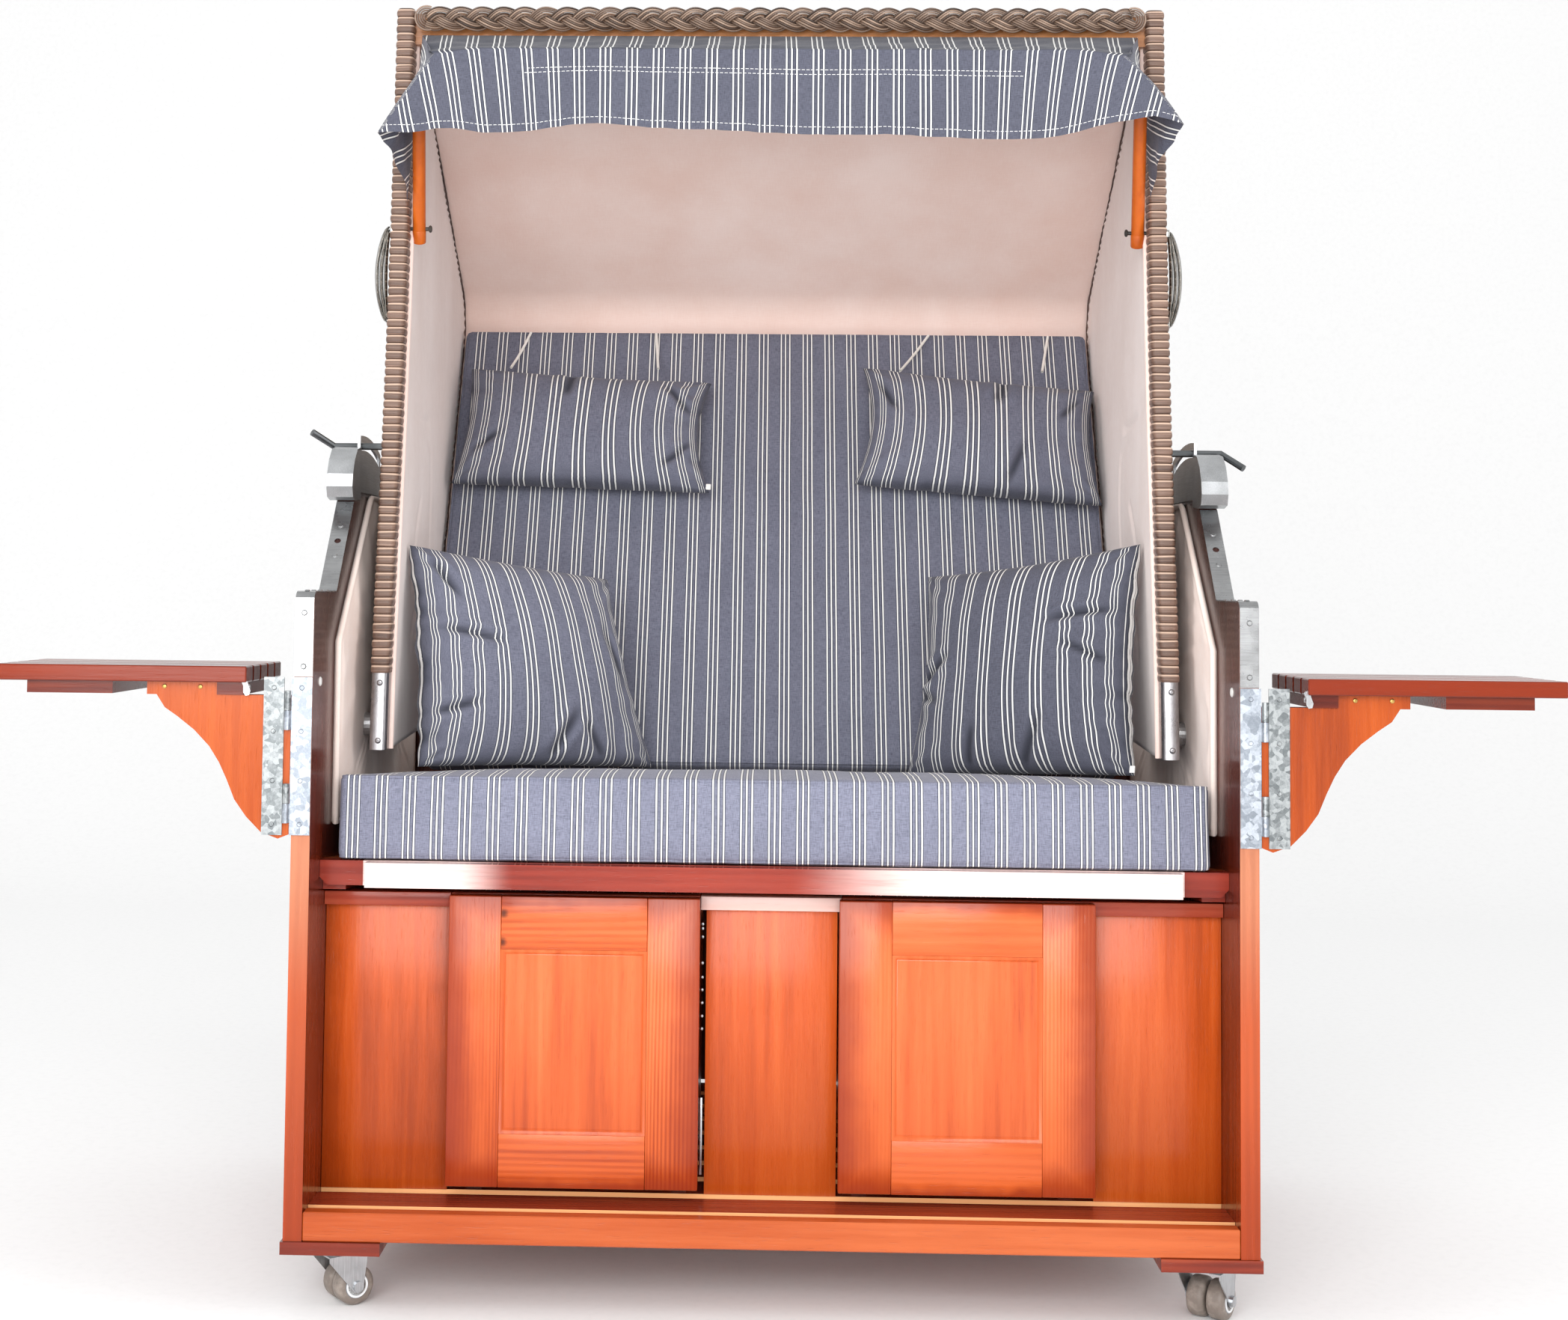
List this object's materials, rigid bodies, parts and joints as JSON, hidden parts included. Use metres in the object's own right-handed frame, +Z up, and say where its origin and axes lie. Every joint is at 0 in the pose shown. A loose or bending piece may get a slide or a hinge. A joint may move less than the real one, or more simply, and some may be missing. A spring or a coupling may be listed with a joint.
{
  "type": "hooded beach chair",
  "caption": "Hooded wicker two-seat beach chair with reclining hood, folding awning, pull-out footrests, swing-out side tables and castors.",
  "frame": {"origin": "middle of the part's bounding box at floor level, under the castors", "axes": "+X from the left armrest to the right one as seen from in front, +Y from the footrests to the hood's back, +Z up"},
  "size_m": [1.98, 0.9638, 1.7525],
  "materials": {
    "side_wall_left": "satin varnish",
    "side_wall_right": "satin varnish",
    "side_lining_left": "smooth woven cloth",
    "side_lining_right": "smooth woven cloth",
    "edge_trim_left": "brushed",
    "edge_trim_right": "brushed",
    "wall_hinge_leaf_left": "zinc plated, dull",
    "wall_hinge_leaf_right": "zinc plated, dull",
    "front_bar": "satin varnish",
    "floor_frame": "gloss varnish",
    "castor_plate_front_left": "zinc plated, dull",
    "castor_plate_front_right": "zinc plated, dull",
    "castor_plate_rear_left": "zinc plated, dull",
    "castor_plate_rear_right": "zinc plated, dull",
    "recess_panels": "satin varnish",
    "back_panel": "plain board",
    "seat_frame": "gloss varnish",
    "seat_deck": "plain board",
    "seat_cushion": "blue chambray with fine white stripes",
    "throw_pillow_left": "blue chambray with fine white stripes",
    "throw_pillow_right": "blue chambray with fine white stripes",
    "pivot_bolt_left": "brushed",
    "pivot_bolt_right": "brushed",
    "recline_lock_left": "brushed",
    "recline_lock_right": "brushed",
    "hood_shell": "woven strand",
    "hood_lining": "smooth woven cloth",
    "hood_rail_left": "woven strand",
    "hood_rail_right": "woven strand",
    "hood_header": "satin varnish",
    "top_braid": "woven strand",
    "back_cushion": "blue chambray with fine white stripes",
    "neck_pillow_left": "blue chambray with fine white stripes",
    "neck_pillow_right": "blue chambray with fine white stripes",
    "grab_bow_left": "brushed",
    "grab_bow_right": "brushed",
    "awning_bow": "satin varnish",
    "awning_cloth": "blue chambray with fine white stripes",
    "adjuster_lever_left": "brushed",
    "footrest_front_left": "satin varnish",
    "footrest_box_left": "satin varnish",
    "footrest_pad_left": "blue chambray with fine white stripes",
    "bracket_hinge_leaf_left": "zinc plated, dull",
    "table_bracket_left": "satin varnish",
    "table_top_left": "gloss varnish",
    "adjuster_lever_right": "brushed",
    "footrest_front_right": "satin varnish",
    "footrest_box_right": "satin varnish",
    "footrest_pad_right": "blue chambray with fine white stripes",
    "bracket_hinge_leaf_right": "zinc plated, dull",
    "table_bracket_right": "satin varnish",
    "table_top_right": "gloss varnish",
    "castor_fork_front_left": "zinc plated, dull",
    "castor_wheels_front_left": "soft grey tread",
    "castor_fork_front_right": "zinc plated, dull",
    "castor_wheels_front_right": "soft grey tread",
    "castor_fork_rear_left": "zinc plated, dull",
    "castor_wheels_rear_left": "soft grey tread",
    "castor_fork_rear_right": "zinc plated, dull",
    "castor_wheels_rear_right": "soft grey tread"
  },
  "bodies": {
    "base": {"side_wall_left": "side_wall_left", "side_wall_right": "side_wall_right", "side_lining_left": "side_lining_left", "side_lining_right": "side_lining_right", "edge_trim_left": "edge_trim_left", "edge_trim_right": "edge_trim_right", "wall_hinge_leaf_left": "wall_hinge_leaf_left", "wall_hinge_leaf_right": "wall_hinge_leaf_right", "front_bar": "front_bar", "floor_frame": "floor_frame", "castor_plate_front_left": "castor_plate_front_left", "castor_plate_front_right": "castor_plate_front_right", "castor_plate_rear_left": "castor_plate_rear_left", "castor_plate_rear_right": "castor_plate_rear_right", "recess_panels": "recess_panels", "back_panel": "back_panel", "seat_frame": "seat_frame", "seat_deck": "seat_deck", "seat_cushion": "seat_cushion", "throw_pillow_left": "throw_pillow_left", "throw_pillow_right": "throw_pillow_right", "pivot_bolt_left": "pivot_bolt_left", "pivot_bolt_right": "pivot_bolt_right", "recline_lock_left": "recline_lock_left", "recline_lock_right": "recline_lock_right"},
    "hood": {"hood_shell": "hood_shell", "hood_lining": "hood_lining", "hood_rail_left": "hood_rail_left", "hood_rail_right": "hood_rail_right", "hood_header": "hood_header", "top_braid": "top_braid", "back_cushion": "back_cushion", "neck_pillow_left": "neck_pillow_left", "neck_pillow_right": "neck_pillow_right", "grab_bow_left": "grab_bow_left", "grab_bow_right": "grab_bow_right"},
    "awning": {"awning_bow": "awning_bow", "awning_cloth": "awning_cloth"},
    "adjuster_left": {"adjuster_lever_left": "adjuster_lever_left"},
    "footrest_left": {"footrest_front_left": "footrest_front_left", "footrest_box_left": "footrest_box_left", "footrest_pad_left": "footrest_pad_left"},
    "table_left": {"bracket_hinge_leaf_left": "bracket_hinge_leaf_left", "table_bracket_left": "table_bracket_left", "table_top_left": "table_top_left"},
    "adjuster_right": {"adjuster_lever_right": "adjuster_lever_right"},
    "footrest_right": {"footrest_front_right": "footrest_front_right", "footrest_box_right": "footrest_box_right", "footrest_pad_right": "footrest_pad_right"},
    "table_right": {"bracket_hinge_leaf_right": "bracket_hinge_leaf_right", "table_bracket_right": "table_bracket_right", "table_top_right": "table_top_right"},
    "castor_front_left": {"castor_fork_front_left": "castor_fork_front_left"},
    "wheels_front_left": {"castor_wheels_front_left": "castor_wheels_front_left"},
    "castor_front_right": {"castor_fork_front_right": "castor_fork_front_right"},
    "wheels_front_right": {"castor_wheels_front_right": "castor_wheels_front_right"},
    "castor_rear_left": {"castor_fork_rear_left": "castor_fork_rear_left"},
    "wheels_rear_left": {"castor_wheels_rear_left": "castor_wheels_rear_left"},
    "castor_rear_right": {"castor_fork_rear_right": "castor_fork_rear_right"},
    "wheels_rear_right": {"castor_wheels_rear_right": "castor_wheels_rear_right"}
  },
  "joints": [
    {"name": "hood_recline", "type": "hinge", "parent": "base", "child": "hood", "pos_m": [0, -0.15693, 0.72], "axis": [-1, 0, 0], "range_deg": [0, 20]},
    {"name": "awning_fold", "type": "hinge", "parent": "hood", "child": "awning", "pos_m": [0, -0.12893, 1.428], "axis": [-1, 0, 0], "range_deg": [0, 48], "deforming": ["awning_cloth"]},
    {"name": "lever_turn_left", "type": "hinge", "parent": "hood", "child": "adjuster_left", "pos_m": [-0.61, -0.18193, 1.11], "axis": [1, 0, 0], "range_deg": [0, 60]},
    {"name": "footrest_slide_left", "type": "slide", "parent": "base", "child": "footrest_left", "axis": [0, -1, 0], "range_m": [0, 0.36]},
    {"name": "table_swing_left", "type": "hinge", "parent": "base", "child": "table_left", "pos_m": [-0.617, -0.47143, 0.697], "axis": [0, 0, 1], "range_deg": [0, 165]},
    {"name": "lever_turn_right", "type": "hinge", "parent": "hood", "child": "adjuster_right", "pos_m": [0.61, -0.18193, 1.11], "axis": [1, 0, 0], "range_deg": [0, 60]},
    {"name": "footrest_slide_right", "type": "slide", "parent": "base", "child": "footrest_right", "axis": [0, -1, 0], "range_m": [0, 0.36]},
    {"name": "table_swing_right", "type": "hinge", "parent": "base", "child": "table_right", "pos_m": [0.617, -0.47143, 0.697], "axis": [0, 0, -1], "range_deg": [0, 165]},
    {"name": "swivel_front_left", "type": "hinge", "parent": "base", "child": "castor_front_left", "pos_m": [-0.552, -0.41493, 0.0668], "axis": [0, 0, 1], "continuous": true},
    {"name": "roll_front_left", "type": "hinge", "parent": "castor_front_left", "child": "wheels_front_left", "pos_m": [-0.53763, -0.40409, 0.025], "axis": [0.6018, -0.7986, 0], "continuous": true},
    {"name": "swivel_front_right", "type": "hinge", "parent": "base", "child": "castor_front_right", "pos_m": [0.552, -0.41493, 0.0668], "axis": [0, 0, 1], "continuous": true},
    {"name": "roll_front_right", "type": "hinge", "parent": "castor_front_right", "child": "wheels_front_right", "pos_m": [0.5618, -0.39983, 0.025], "axis": [0.8387, -0.5446, 0], "continuous": true},
    {"name": "swivel_rear_left", "type": "hinge", "parent": "base", "child": "castor_rear_left", "pos_m": [-0.552, 0.28107, 0.0668], "axis": [0, 0, 1], "continuous": true},
    {"name": "roll_rear_left", "type": "hinge", "parent": "castor_rear_left", "child": "wheels_rear_left", "pos_m": [-0.54584, 0.29799, 0.025], "axis": [0.9397, -0.342, 0], "continuous": true},
    {"name": "swivel_rear_right", "type": "hinge", "parent": "base", "child": "castor_rear_right", "pos_m": [0.552, 0.28107, 0.0668], "axis": [0, 0, 1], "continuous": true},
    {"name": "roll_rear_right", "type": "hinge", "parent": "castor_rear_right", "child": "wheels_rear_right", "pos_m": [0.54584, 0.29799, 0.025], "axis": [0.9397, 0.342, 0], "continuous": true}
  ]
}
